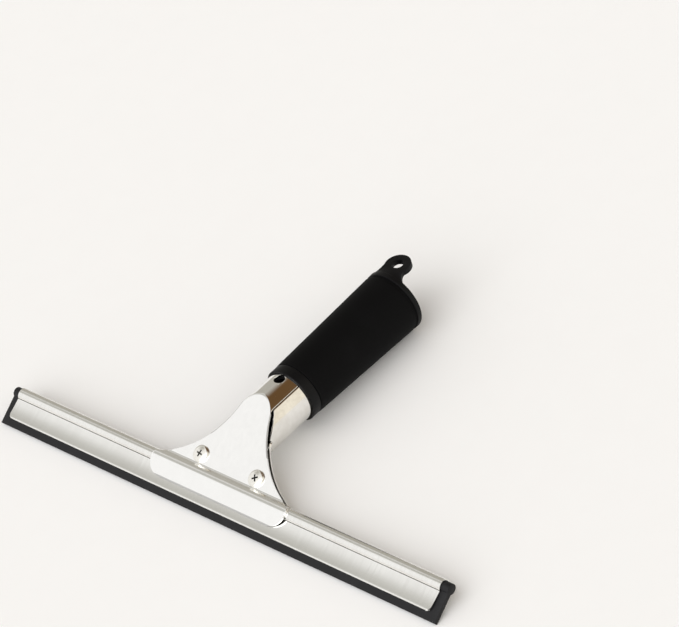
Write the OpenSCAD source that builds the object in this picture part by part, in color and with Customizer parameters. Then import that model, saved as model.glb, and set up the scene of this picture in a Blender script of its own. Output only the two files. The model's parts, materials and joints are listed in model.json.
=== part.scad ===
// Window cleaning squeegee: a rubber blade in a rolled steel channel, held in a two-shell
// clamp whose neck bends back into a hollow handle with a rubber grip and a hanging loop.
// The shapes are drawn in the blade's own frame, with X along the blade, Y to the back and
// Z up the clamp from the wiping edge. rest() then lays them on their back on the table,
// on the wiping edge and the end of the grip.

/* [Blade] */
// Length of the rubber blade
rubber_len = 305; // [200:1:450]
// Thickness of the rubber blade
rubber_t = 2.4; // [2:0.1:3]
// Radius of the bead that holds the rubber in its channel
rubber_bead_r = 2.8; // [2.5:0.1:2.9]

/* [Channel] */
// Length of the steel channel
channel_len = 296; // [190:1:450]
// Radius of the round top of the channel
bead_r = 3.6; // [3.5:0.1:3.8]
// Height of the middle of the round top above the wiping edge
bead_z = 17.8; // [16:0.1:20]
// Half the channel's depth at its waist
waist_y = 2.15; // [2:0.05:2.3]
// Half the channel's depth at its lips
lip_y = 3.2; // [3:0.1:3.4]
// Height of the lips above the wiping edge
lip_z = 3.9; // [3:0.1:5]
// Thickness of the channel's steel
channel_t = 0.6; // [0.5:0.1:0.7]

/* [Clamp] */
// Width of the front jaw
jaw_w = 93.5; // [80:0.5:110]
// Height of the jaws' lower edge above the wiping edge
jaw_z = 8.8; // [8:0.1:10]
// Distance from the middle plane to the outside of either plate
plate_y = 2; // [1.8:0.1:2.5]
// Thickness of the clamp's steel
sheet_t = 1; // [0.8:0.1:1.2]
// Radius of the hollow sides of the clamp
side_r = 54; // [50:1:60]
// Height of the middle of the hollow sides
side_z = 72; // [70:1:75]
// Distance between the two screws
screw_pitch = 38.8; // [34:0.2:42]
// Height of the screws above the wiping edge
screw_z = 27.5; // [26.5:0.5:30]

/* [Handle] */
// Backward bend of the handle, in degrees
bend = 32; // [28:1:36]
// Outer radius of the steel neck
neck_r = 14; // [13:0.1:15]
// Height of the grip's rim on the handle's axis
rim_z = 72.4; // [70:0.1:76]
// Depth of the grip's rim on the handle's axis
rim_y = 18; // [16:0.1:20]
// Angle from the front of the neck to the seam between the shells
seam_angle = 41; // [38:1:45]
// Length of the grip
grip_len = 81; // [75:1:120]
// Outer radius of the grip at its rim
grip_rim_r = 15.3; // [15:0.1:16]
// Outer radius of the grip at its end
grip_end_r = 17.6; // [16:0.1:19]
// Radius of the socket for a pole
socket_r = 11.5; // [10:0.1:12]
// Radius of the hole for the pole's lock button
lock_r = 2.9; // [2:0.1:2.9]

/* [Hanging loop] */
// Radius of the loop's hole
loop_hole_r = 3.2; // [2:0.1:3.5]
// Outer radius of the loop
loop_r = 7.1; // [6:0.1:8]
// Thickness of the loop
loop_t = 3; // [2.5:0.1:4]
// Distance from the grip's end to the loop's hole
loop_rise = 7.8; // [7:0.1:10]

/* [Fasteners] */
// Nominal radius of the screws
screw_r = 2.45; // [2:0.05:2.5]
// Radius of the screw heads
head_r = 4.5; // [4:0.1:5]
// Height of the screw heads
head_h = 1.7; // [1.4:0.1:2.2]
// Width of the nuts across their flats
nut_af = 8; // [7:0.5:9]

/* [Hidden] */
$fn = 96;

// Clearances
fit = 0.05;
slide_gap = 0.1;
seam_gap = 0.2;
cut = 0.5;

// Channel
hem_r = 0.85;
channel_corner = 3;
skirt_bow = 0.35;
skirt_steps = 10;

// Clamp
jaw_r = bead_r + slide_gap;
jaw_out_r = jaw_r + sheet_t;
jaw_lip_y = 2.6;
jaw_corner = 8.5;
rear_jaw_inset = 2;
arc_steps = 12;
seam_n = neck_r * cos(seam_angle);
seam_x = neck_r * sin(seam_angle);
side_top_z = 62;
side_x = seam_x + sqrt(pow(side_r, 2) - pow(side_z - side_top_z, 2));
plate_top_z = 60.4;
plate_in_y = plate_y - sheet_t;
rear_seam_z = 48;
screw_hole_r = 2.75;
big = 200;

// Neck and handle, measured along the handle's axis from the grip's rim
neck_in_r = neck_r - sheet_t;
neck_end = 30;
neck_start = -70;
lock_s = -3.1;
socket_bottom = -8.5;
socket_floor = 1.5;
socket_front_r = neck_in_r - fit;
collar_len = 5.7;
collar_gap = 0.2;
sleeve_r = neck_r + fit;
ring_s = 78;
groove_s = 75.9;
groove_depth = 0.6;
loop_root = 9.2;
loop_neck = 5;
loop_s = grip_len + loop_rise;
loop_front = grip_end_r - 0.1;

// Fasteners
washer_t = 1.2;
washer_r = 4.3;
washer_gap = 0.8;
nut_h = 4;
screw_len = 10;
cross_len = 4.6;
cross_w = 1;
cross_depth = 1.2;
cross_turn_left = 8;
cross_turn_right = -31;
head_edge_h = 0.7;

// Rest on the table: the lean of the plates, and the shifts that put the lowest points on
// the table and the middle of the outline at the origin
foot_y = rim_y + grip_len * sin(bend) + grip_end_r * cos(bend);
foot_z = rim_z + grip_len * cos(bend) - grip_end_r * sin(bend);
lean = atan2(foot_y - rubber_t / 2, foot_z);
near_y = -rubber_t / 2 * sin(lean);
tip_s = loop_s + loop_r;
far_y = rim_y * sin(lean) + rim_z * cos(lean)
      + tip_s * cos(bend - lean) + loop_front * sin(bend - lean);
rest_y = -(near_y + far_y) / 2;
rest_z = rubber_t / 2 * cos(lean);

steel = [0.80, 0.80, 0.78];
bright = [0.86, 0.86, 0.85];
black_rubber = [0.10, 0.10, 0.11];
black_plastic = [0.07, 0.07, 0.08];

// Points of an arc about [y, z], from one angle to another
function arc(y, z, r, from, to, n = arc_steps) =
    [for (i = [0:n]) let (a = from + (to - from) * i / n) [y + r * cos(a), z + r * sin(a)]];

// Lays the squeegee on the table
module rest() {
    translate([0, rest_y, rest_z]) rotate([lean - 90, 0, 0]) children();
}

// Extrudes a [y, z] profile along the blade
module along_blade(len) {
    rotate([90, 0, 90]) linear_extrude(len, center = true) children();
}

// Extrudes an [x, z] outline from the front to the back
module front_to_back() {
    rotate([90, 0, 0]) linear_extrude(big, center = true) children();
}

// Moves to the middle of the grip's rim, with +Z along the handle and -Y to the front
module on_handle(s = 0) {
    translate([0, rim_y, rim_z]) rotate([-bend, 0, 0]) translate([0, 0, s]) children();
}

// Puts a shape at a screw, with +Z to the back and z = 0 on the middle plane
module at_screw(side) {
    translate([side * screw_pitch / 2, 0, screw_z]) rotate([-90, 0, 0]) children();
}

// ---- Blade and channel ----

module rubber_profile() {
    translate([-rubber_t / 2, 0]) square([rubber_t, bead_z]);
    translate([0, bead_z]) circle(rubber_bead_r);
}

module rubber_blade() {
    color(black_rubber) rest() along_blade(rubber_len) rubber_profile();
}

// Depth of the channel's skirt at a height, flaring towards the lips
function skirt_y(z) =
    let (u = (bead_z - z) / (bead_z - lip_z))
    waist_y + (lip_y - waist_y) * pow(u, 2) - skirt_bow * u * (1 - u);

// Section of the channel: a round top, a waist, and skirts that end in rolled lips. The half
// with y > 0 runs from the inside of the top to its outside, round the lip.
module channel_profile() {
    low = lip_z + hem_r;
    hem_y = skirt_y(low) - hem_r;
    hem_a = acos((hem_r - channel_t) / hem_r);
    waist_a = acos(waist_y / bead_r);
    throat_a = acos((waist_y - channel_t) / (bead_r - channel_t));
    waist_z = bead_z - bead_r * sin(waist_a);
    steps = [for (i = [0:skirt_steps]) low + (waist_z - low) * i / skirt_steps];
    half = concat(
        arc(0, bead_z, bead_r - channel_t, 90, -throat_a, 2 * arc_steps),
        [for (i = [skirt_steps - 1:-1:2]) [skirt_y(steps[i]) - channel_t, steps[i]]],
        arc(hem_y, low, hem_r, hem_a, 360, 2 * arc_steps),
        [for (i = [1:skirt_steps - 1]) [skirt_y(steps[i]), steps[i]]],
        arc(0, bead_z, bead_r, -waist_a, 90, 2 * arc_steps)
    );
    polygon(concat(half, [for (i = [len(half) - 2:-1:1]) [-half[i][0], half[i][1]]]));
}

// Rounds the lower corner at one end of the channel
module channel_corner_cut(side) {
    x = side * (channel_len / 2 - channel_corner);
    difference() {
        translate([x - (side > 0 ? 0 : channel_corner + cut), -big / 2, lip_z - cut])
            cube([channel_corner + cut, big, channel_corner + cut]);
        translate([x, 0, lip_z + channel_corner]) rotate([90, 0, 0])
            cylinder(h = big + 1, r = channel_corner, center = true);
    }
}

module blade_channel() {
    color(steel) rest() difference() {
        along_blade(channel_len) channel_profile();
        for (side = [-1, 1]) channel_corner_cut(side);
    }
}

// ---- Clamp ----

// Section of the front sheet: plate, hollow bend, arc over the channel's top, and lip
module sheet_profile() {
    bend_r = (pow(plate_y, 2) + pow(5.4, 2) - pow(jaw_out_r, 2)) / (2 * (jaw_out_r - plate_y));
    bend_z = bead_z + 5.4;
    join = atan2(bend_z - bead_z, plate_y + bend_r);
    lip_dist = sqrt(pow(jaw_lip_y, 2) + pow(bead_z - jaw_z, 2));
    lip_a = -atan2(bead_z - jaw_z, jaw_lip_y) + acos(jaw_r / lip_dist);
    lip_out = [jaw_lip_y + sheet_t * cos(lip_a), jaw_z + sheet_t * sin(lip_a)];
    mirror([1, 0]) polygon(concat(
        [[plate_y, plate_top_z]],
        arc(plate_y + bend_r, bend_z, bend_r, 180, 180 + join),
        arc(0, bead_z, jaw_out_r, join, lip_a, 2 * arc_steps),
        [lip_out, [jaw_lip_y, jaw_z]],
        arc(0, bead_z, jaw_r, lip_a, join, 2 * arc_steps),
        arc(plate_y + bend_r, bend_z, bend_r + sheet_t, 180 + join, 180),
        [[plate_in_y, plate_top_z]]
    ));
}

// Outline of the clamp from the front: hollow sides that run into the neck, and a jaw with
// rounded lower corners
module clamp_outline(width) {
    difference() {
        translate([-width / 2, jaw_z - cut]) square([width, side_top_z - jaw_z + cut]);
        for (side = [-1, 1]) {
            translate([side * side_x, side_z]) circle(side_r, $fn = 240);
            translate([side * (width + cut - jaw_corner) / 2, jaw_z + (jaw_corner - cut) / 2])
                square(jaw_corner + cut, center = true);
        }
    }
    for (side = [-1, 1])
        intersection() {
            translate([side * (width / 2 - jaw_corner), jaw_z + jaw_corner]) circle(jaw_corner);
            translate([-width / 2, jaw_z]) square([width, jaw_corner]);
        }
}

module neck_solid(r) {
    on_handle(neck_start) cylinder(h = neck_end - neck_start, r = r);
}

// Everything behind the plane y, in the blade's frame
module behind(y) {
    translate([-big / 2, y, 0]) cube([big, big, big]);
}

module screw_holes() {
    for (side = [-1, 1]) at_screw(side) cylinder(h = 20, r = screw_hole_r, center = true);
}

module lock_hole() {
    on_handle(lock_s) rotate([90, 0, 0]) cylinder(h = neck_r + 2, r = lock_r);
}

module front_clamp() {
    color(bright) rest() difference() {
        union() {
            intersection() {
                along_blade(jaw_w + 2) sheet_profile();
                front_to_back() clamp_outline(jaw_w);
            }
            difference() {
                intersection() {
                    neck_solid(neck_r);
                    behind(-plate_y);
                    on_handle(neck_start) translate([-big / 2, -big, 0]) cube([big, big - seam_n, big]);
                    translate([-big / 2, -big / 2, plate_top_z - fit]) cube(big);
                }
                intersection() {
                    neck_solid(neck_in_r);
                    behind(-plate_in_y);
                }
            }
        }
        screw_holes();
        lock_hole();
        on_handle(neck_end) translate([-big / 2, -big / 2, 0]) cube(big);
    }
}

// Side view of what the rear shell may fill: behind the gap, then behind the neck's seam
module rear_side() {
    seam = seam_n - seam_gap;
    y0 = rim_y - seam * cos(bend);
    z0 = rim_z + seam * sin(bend);
    down = (z0 - side_top_z) / cos(bend);
    polygon([[plate_in_y, 0], [plate_in_y, rear_seam_z], [y0 - down * sin(bend), side_top_z],
             [y0 + big * sin(bend), z0 + big * cos(bend)], [big, big], [big, 0]]);
}

module rear_clamp() {
    color(steel) rest() difference() {
        union() {
            intersection() {
                mirror([0, 1, 0]) along_blade(jaw_w) sheet_profile();
                front_to_back() clamp_outline(jaw_w - 2 * rear_jaw_inset);
            }
            difference() {
                intersection() {
                    neck_solid(neck_r);
                    along_blade(big) rear_side();
                    translate([-big / 2, -big / 2, bead_z + 2]) cube(big);
                }
                along_blade(big) translate([0, bead_z]) circle(jaw_r + 0.4, $fn = 96);
            }
        }
        neck_solid(neck_in_r);
        screw_holes();
        on_handle(neck_end) translate([-big / 2, -big / 2, 0]) cube(big);
    }
}

// ---- Fasteners ----

module clamp_screw(side, cross_turn) {
    color(bright) rest() at_screw(side) difference() {
        union() {
            translate([0, 0, -plate_y - fit - head_h]) rotate_extrude() polygon(concat(
                [[0, 0]],
                [for (a = [30:15:90]) [head_r * sin(a), (head_h - head_edge_h) * (1 - cos(a))]],
                [[head_r, head_h], [0, head_h]]
            ));
            translate([0, 0, -plate_y - fit - cut]) cylinder(h = screw_len + cut, r = screw_r);
        }
        for (turn = [0, 90]) rotate([0, 0, cross_turn + turn])
            translate([-cross_len / 2, -cross_w / 2, -plate_y - fit - head_h - 1])
                cube([cross_len, cross_w, cross_depth + 1]);
    }
}

module screw_left() { clamp_screw(-1, cross_turn_left); }
module screw_right() { clamp_screw(1, cross_turn_right); }

module lock_washer(side) {
    color(steel) rest() at_screw(side) translate([0, 0, plate_y + fit]) rotate([0, 0, 90 - 90 * side])
    difference() {
        cylinder(h = washer_t, r = washer_r);
        translate([0, 0, -cut]) cylinder(h = washer_t + 2 * cut, r = screw_r + 2 * fit);
        translate([0, -washer_gap / 2, -cut]) cube([washer_r + cut, washer_gap, washer_t + 2 * cut]);
    }
}

module lock_washer_left() { lock_washer(-1); }
module lock_washer_right() { lock_washer(1); }

module clamp_nut(side) {
    color(steel) rest() at_screw(side) translate([0, 0, plate_y + 2 * fit + washer_t]) difference() {
        cylinder(h = nut_h, r = nut_af / 2 / cos(30), $fn = 6);
        translate([0, 0, -cut]) cylinder(h = nut_h + 2 * cut, r = screw_r + fit);
    }
}

module nut_left() { clamp_nut(-1); }
module nut_right() { clamp_nut(1); }

// ---- Handle ----

// Liner of the hollow handle: narrow inside the steel neck, wider beyond it
module pole_socket() {
    color(black_plastic) rest() difference() {
        union() {
            on_handle(socket_bottom - socket_floor)
                cylinder(h = groove_s - socket_bottom + socket_floor, r = socket_front_r);
            on_handle(neck_end + collar_gap) cylinder(h = ring_s - neck_end - collar_gap, r = neck_r);
        }
        on_handle(socket_bottom) cylinder(h = big, r = socket_r);
        lock_hole();
    }
}

module grip_collar() {
    color(black_plastic) rest() on_handle() difference() {
        rotate_extrude() polygon([[sleeve_r - cut, 0], [grip_rim_r - 0.4, 0], [grip_rim_r, 0.4],
                                  [grip_rim_r, collar_len - 0.3], [grip_rim_r - 0.3, collar_len],
                                  [sleeve_r - cut, collar_len]]);
        translate([0, 0, -cut]) cylinder(h = collar_len + 2 * cut, r = sleeve_r);
    }
}

// Outer radius of the grip at a distance from its rim
function grip_r(s) = grip_rim_r + (grip_end_r - grip_rim_r) * s / grip_len;

module grip_sleeve() {
    s0 = collar_len + collar_gap;
    color(black_rubber) rest() on_handle() difference() {
        rotate_extrude() polygon([[sleeve_r - cut, s0], [grip_r(s0) - 0.3, s0], [grip_r(s0), s0 + 0.3],
                                  [grip_r(groove_s), groove_s], [grip_r(groove_s) - groove_depth, groove_s],
                                  [grip_r(ring_s) - groove_depth, ring_s], [sleeve_r - cut, ring_s]]);
        translate([0, 0, -cut]) cylinder(h = ring_s + 2 * cut, r = sleeve_r);
    }
}

// Outline of the hanging loop from the front: a round eye on a root that widens to the ring
module loop_outline() {
    translate([0, loop_rise]) circle(loop_r);
    polygon([[-loop_root, -1], [loop_root, -1], [loop_neck, loop_rise], [-loop_neck, loop_rise]]);
}

// End ring of the grip, open for the pole, with the hanging loop on its front side
module hang_ring() {
    color(black_plastic) rest() on_handle() difference() {
        union() {
            rotate_extrude() polygon([[socket_r - cut, ring_s], [grip_r(ring_s), ring_s],
                                      [grip_end_r, grip_len], [socket_r - cut, grip_len]]);
            intersection() {
                translate([0, loop_t - loop_front, grip_len]) rotate([90, 0, 0])
                    linear_extrude(loop_t) loop_outline();
                union() {
                    cylinder(h = grip_len + cut, r = grip_end_r - cut);
                    translate([-big / 2, -big / 2, grip_len]) cube(big);
                }
            }
        }
        translate([0, 0, ring_s - cut]) cylinder(h = 2 * loop_t + cut, r = socket_r);
        translate([0, 0, loop_s]) rotate([90, 0, 0]) cylinder(h = big, r = loop_hole_r);
    }
}

rubber_blade();
blade_channel();
front_clamp();
rear_clamp();
screw_left();
screw_right();
lock_washer_left();
lock_washer_right();
nut_left();
nut_right();
pole_socket();
grip_collar();
grip_sleeve();
hang_ring();
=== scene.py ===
"""Window cleaning squeegee: the finished look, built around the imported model.

Sizes inside the classes are in millimetres. They are drawn either in the blade's frame (X along
the blade, Y to the back, Z up the clamp from the wiping edge) or in the handle's frame (Z along
the handle from the grip's rim, -Y to the front), and placed in the row frame at the end.
"""

import json
import logging
import math
from dataclasses import dataclass
from enum import Enum
from typing import Callable, Iterable, Sequence, Union

import bmesh
import bpy
from mathutils import Matrix, Vector


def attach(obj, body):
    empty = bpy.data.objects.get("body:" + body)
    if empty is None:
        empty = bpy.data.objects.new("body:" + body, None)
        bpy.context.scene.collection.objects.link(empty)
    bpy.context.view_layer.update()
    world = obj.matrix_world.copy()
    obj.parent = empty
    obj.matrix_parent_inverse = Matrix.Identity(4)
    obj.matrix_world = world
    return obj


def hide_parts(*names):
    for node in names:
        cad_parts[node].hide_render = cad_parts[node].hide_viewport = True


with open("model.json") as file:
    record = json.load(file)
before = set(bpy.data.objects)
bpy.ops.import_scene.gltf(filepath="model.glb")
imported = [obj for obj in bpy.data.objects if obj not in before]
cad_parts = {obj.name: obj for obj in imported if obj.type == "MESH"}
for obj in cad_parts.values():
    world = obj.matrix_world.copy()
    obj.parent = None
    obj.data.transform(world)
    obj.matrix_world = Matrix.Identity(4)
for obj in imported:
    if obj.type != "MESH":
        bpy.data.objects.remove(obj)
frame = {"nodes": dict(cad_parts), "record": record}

log = logging.getLogger("squeegee")

MM = 0.001
# Face attribute that says where shade is painted onto the steel.
PAINTED_SHADE = "painted_shade"
Colour = tuple[float, float, float]
Point = tuple[float, float]
Input = Union[float, tuple, "Signal"]


class Side(Enum):
    """Which of the two clamp screws."""

    LEFT = -1
    RIGHT = 1


class Brushing(Enum):
    """The way a steel sheet is brushed, as pattern scales along X, Y and Z."""

    ACROSS = (1500.0, 55.0, 55.0)
    SATIN = (420.0, 300.0, 300.0)
    TURNED = (700.0, 700.0, 700.0)


# ---- Shader nodes ----


class Signal:
    """A shader node's output, which can be used in arithmetic."""

    def __init__(self, bench: "Bench", output: bpy.types.NodeSocket) -> None:
        """Wraps one output of a node on the bench."""
        self.bench = bench
        self.output = output

    def _math(self, operation: str, first: Input, second: Input) -> "Signal":
        """Adds a Math node for two values."""
        return self.bench.node("ShaderNodeMath", {"operation": operation}, {0: first, 1: second})

    def __add__(self, other: Input) -> "Signal":
        """Sum."""
        return self._math("ADD", self, other)

    def __radd__(self, other: Input) -> "Signal":
        """Sum with a number on the left."""
        return self._math("ADD", other, self)

    def __sub__(self, other: Input) -> "Signal":
        """Difference."""
        return self._math("SUBTRACT", self, other)

    def __rsub__(self, other: Input) -> "Signal":
        """Difference from a number."""
        return self._math("SUBTRACT", other, self)

    def __mul__(self, other: Input) -> "Signal":
        """Product."""
        return self._math("MULTIPLY", self, other)

    def __rmul__(self, other: Input) -> "Signal":
        """Product with a number on the left."""
        return self._math("MULTIPLY", other, self)

    def between(self, low: float, high: float) -> "Signal":
        """Rises smoothly from 0 at low to 1 at high."""
        settings = {"interpolation_type": "SMOOTHSTEP", "clamp": True}
        return self.bench.node("ShaderNodeMapRange", settings, {0: self, 1: low, 2: high})


class Bench:
    """Builds one node tree, of a material or of the world."""

    def __init__(self, tree: bpy.types.NodeTree) -> None:
        """Clears the tree and starts on it."""
        self.tree = tree
        tree.nodes.clear()

    def node(self, kind: str, settings: dict | None = None, inputs: dict | None = None,
             output: int | str = 0) -> Signal:
        """Adds a node.

        Args:
            kind: The node's type.
            settings: Its properties.
            inputs: Values or signals by socket name or number.
            output: Which output to return.

        Returns:
            The chosen output.
        """
        made = self.tree.nodes.new(kind)
        for name, value in (settings or {}).items():
            setattr(made, name, value)
        for key, value in (inputs or {}).items():
            if isinstance(value, Signal):
                self.tree.links.new(value.output, made.inputs[key])
            else:
                made.inputs[key].default_value = value
        return Signal(self, made.outputs[output])

    def place(self, scale: Sequence[float] = (1.0, 1.0, 1.0)) -> Signal:
        """Object coordinates, scaled for a pattern."""
        where = self.node("ShaderNodeTexCoord", output="Object")
        return self.node("ShaderNodeMapping", {"vector_type": "POINT"},
                         {"Vector": where, "Scale": tuple(scale)})

    def noise(self, where: Signal, scale: float, detail: float = 3.0, rough: float = 0.5) -> Signal:
        """Noise from 0 to 1 at a place."""
        return self.node("ShaderNodeTexNoise", {"noise_dimensions": "3D"},
                         {"Vector": where, "Scale": scale, "Detail": detail, "Roughness": rough})

    def mix(self, amount: Input, low: Input, high: Input) -> Signal:
        """Mixes two colours."""
        first = low if isinstance(low, Signal) else (*low, 1.0)
        second = high if isinstance(high, Signal) else (*high, 1.0)
        return self.node("ShaderNodeMix", {"data_type": "RGBA", "clamp_factor": True},
                         {0: amount, 6: first, 7: second}, output=2)

    def bump(self, height: Signal, depth_mm: float) -> Signal:
        """Turns a height from 0 to 1 into a normal."""
        return self.node("ShaderNodeBump", {},
                         {"Height": height, "Distance": depth_mm * MM, "Strength": 1.0})

    def surface(self, sockets: dict) -> None:
        """Ends the tree in a Principled shader with these sockets."""
        shader = self.node("ShaderNodeBsdfPrincipled", {}, sockets)
        out = self.tree.nodes.new("ShaderNodeOutputMaterial")
        self.tree.links.new(shader.output, out.inputs["Surface"])


def new_material(name: str) -> tuple[bpy.types.Material, Bench]:
    """An empty material and the bench for its nodes."""
    material = bpy.data.materials.new(name)
    material.use_nodes = True
    return material, Bench(material.node_tree)


# ---- Finishes ----


@dataclass(frozen=True)
class Steel:
    """Brushed or satin steel, with streaks, faint clouding, small handling marks and painted shade
    on marked faces.
    """

    name: str
    light: Colour
    dark: Colour
    roughness: float
    brushing: Brushing
    streak_depth: float = 0.004
    streak_spread: float = 0.12
    clouding: float = 0.05
    polish_from: float | None = None
    polished: float = 0.08
    # Colour of the painted shade in creases, screw recesses and along cut edges.
    painted_shade: Colour = (0.1, 0.095, 0.085)

    def material(self) -> bpy.types.Material:
        """Builds the material."""
        made, bench = new_material(self.name)
        streaks = bench.noise(bench.place(self.brushing.value), 1.0, 4.0, 0.6)
        clouds = bench.noise(bench.place(), 38.0, 4.0, 0.55)
        marks = bench.noise(bench.place((1.0, 3.0, 3.0)), 130.0, 5.0, 0.7).between(0.62, 0.78)
        tone = streaks * 0.55 + clouds * 0.45
        colour = bench.mix(tone.between(0.3, 0.7), self.light, self.dark)
        rough = (self.roughness + (streaks - 0.5) * self.streak_spread
                 + (clouds - 0.5) * self.clouding + marks * 0.04)
        if self.polish_from is not None:
            along = bench.node("ShaderNodeSeparateXYZ", {}, {0: bench.place()}, output="Y")
            share = along.between(self.polish_from - 0.004, self.polish_from + 0.004)
            rough = rough - share * (self.roughness - self.polished)
        # Painted shade: marked faces are darkened towards the shade colour, and made rougher.
        painted_shade = bench.node("ShaderNodeAttribute", {"attribute_name": PAINTED_SHADE}, output="Fac")
        colour = bench.mix(painted_shade * (0.8 + clouds * 0.3), colour, self.painted_shade)
        rough = rough + painted_shade * 0.3
        bench.surface({
            "Base Color": colour,
            "Metallic": 1.0,
            "Roughness": rough,
            "Normal": bench.bump(streaks, self.streak_depth),
        })
        return made


@dataclass(frozen=True)
class SoftBlack:
    """Black rubber or moulded plastic, with a fine grain, dust and rubbed places."""

    name: str
    base: Colour
    dusty: Colour
    roughness: float
    shine: float
    grain: float
    grain_depth: float
    dust: float = 0.5
    streak: tuple[float, float, float] = (1.0, 1.0, 1.0)

    def material(self) -> bpy.types.Material:
        """Builds the material."""
        made, bench = new_material(self.name)
        fine = bench.noise(bench.place(self.streak), self.grain, 2.0, 0.6)
        pores = bench.node("ShaderNodeTexVoronoi", {"feature": "F1"},
                           {"Vector": bench.place(), "Scale": self.grain * 1.6})
        clouds = bench.noise(bench.place(), 55.0, 5.0, 0.6)
        dust = clouds.between(0.45, 0.8) * self.dust
        height = fine * 0.6 + pores * 0.4
        bench.surface({
            "Base Color": bench.mix(dust + (fine - 0.5) * 0.3, self.base, self.dusty),
            "Roughness": self.roughness + (clouds - 0.5) * 0.12 + (fine - 0.5) * 0.1,
            "Specular IOR Level": self.shine,
            "Normal": bench.bump(height, self.grain_depth),
        })
        return made


@dataclass(frozen=True)
class Finishes:
    """Every finish on the squeegee."""

    channel: Steel = Steel("channel_steel_finish", (0.87, 0.865, 0.84), (0.80, 0.79, 0.765), 0.2,
                           Brushing.ACROSS, 0.002, 0.07, 0.03)
    clamp: Steel = Steel("clamp_steel_finish", (0.925, 0.92, 0.905), (0.89, 0.885, 0.87), 0.19,
                         Brushing.SATIN, 0.001, 0.03, 0.02, -0.038, 0.1)
    # Painted shade: the rear shell gets a darker, warmer copy of the clamp steel.
    rear_clamp: Steel = Steel("shaded_rear_clamp_steel_finish", (0.86, 0.85, 0.82), (0.76, 0.74, 0.70),
                              0.19, Brushing.SATIN, 0.001, 0.05, 0.03, -0.045, 0.13)
    screw: Steel = Steel("screw_steel_finish", (0.90, 0.88, 0.83), (0.80, 0.78, 0.72), 0.2,
                         Brushing.TURNED, 0.002, 0.05, 0.04)
    washer: Steel = Steel("washer_steel_finish", (0.58, 0.57, 0.55), (0.44, 0.43, 0.41), 0.34,
                          Brushing.TURNED, 0.004, 0.1, 0.08)
    nut: Steel = Steel("nut_steel_finish", (0.74, 0.73, 0.69), (0.60, 0.58, 0.54), 0.26,
                       Brushing.TURNED, 0.004, 0.08, 0.06)
    blade: SoftBlack = SoftBlack("blade_rubber_finish", (0.010, 0.010, 0.011),
                                 (0.030, 0.030, 0.032), 0.55, 0.2, 900.0, 0.02, 0.45,
                                 (0.15, 1.0, 1.0))
    grip: SoftBlack = SoftBlack("grip_rubber_finish", (0.0022, 0.0022, 0.0024),
                                (0.0055, 0.0055, 0.006), 0.72, 0.08, 1300.0, 0.03, 0.4)
    collar: SoftBlack = SoftBlack("collar_plastic_finish", (0.003, 0.003, 0.0033),
                                  (0.010, 0.010, 0.011), 0.5, 0.14, 1100.0, 0.015, 0.35)
    socket: SoftBlack = SoftBlack("socket_plastic_finish", (0.006, 0.006, 0.0065),
                                  (0.016, 0.016, 0.017), 0.5, 0.2, 900.0, 0.012, 0.5)
    loop: SoftBlack = SoftBlack("loop_plastic_finish", (0.003, 0.003, 0.0033),
                                (0.010, 0.010, 0.011), 0.5, 0.14, 1000.0, 0.012, 0.4)


# ---- Where things are ----


@dataclass(frozen=True)
class Placement:
    """The two working frames, as matrices from millimetres in them to metres in the row frame."""

    blade: Matrix
    handle: Matrix

    @classmethod
    def from_record(cls, record: dict, lock_front: float, lock_along: float) -> "Placement":
        """Reads the frames from the record's mounts.

        Args:
            record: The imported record.
            lock_front: Distance of the lock hole's mount in front of the handle's axis.
            lock_along: Its distance along the handle from the grip's rim.

        Returns:
            The placement.
        """
        mounts = {m["name"]: m for m in record["mounts"]}
        edge, hole = mounts["wiping_edge"], mounts["lock_hole"]
        up = -Vector(edge["axis"]).normalized()
        across = Vector((1.0, 0.0, 0.0))
        blade = cls._matrix(Vector(edge["pos_m"]), across, up.cross(across), up)
        along = Vector(mounts["pole_socket"]["axis"]).normalized()
        front = Vector(hole["axis"]).normalized()
        rim = Vector(hole["pos_m"]) - front * lock_front * MM - along * lock_along * MM
        return cls(blade, cls._matrix(rim, across, -front, along))

    @staticmethod
    def _matrix(origin: Vector, x: Vector, y: Vector, z: Vector) -> Matrix:
        """A frame's matrix from its origin and axes, with millimetres inside it."""
        turn = Matrix((x, y, z)).transposed().to_4x4()
        return Matrix.Translation(origin) @ turn @ Matrix.Scale(MM, 4)


# ---- Mesh helpers ----


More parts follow.
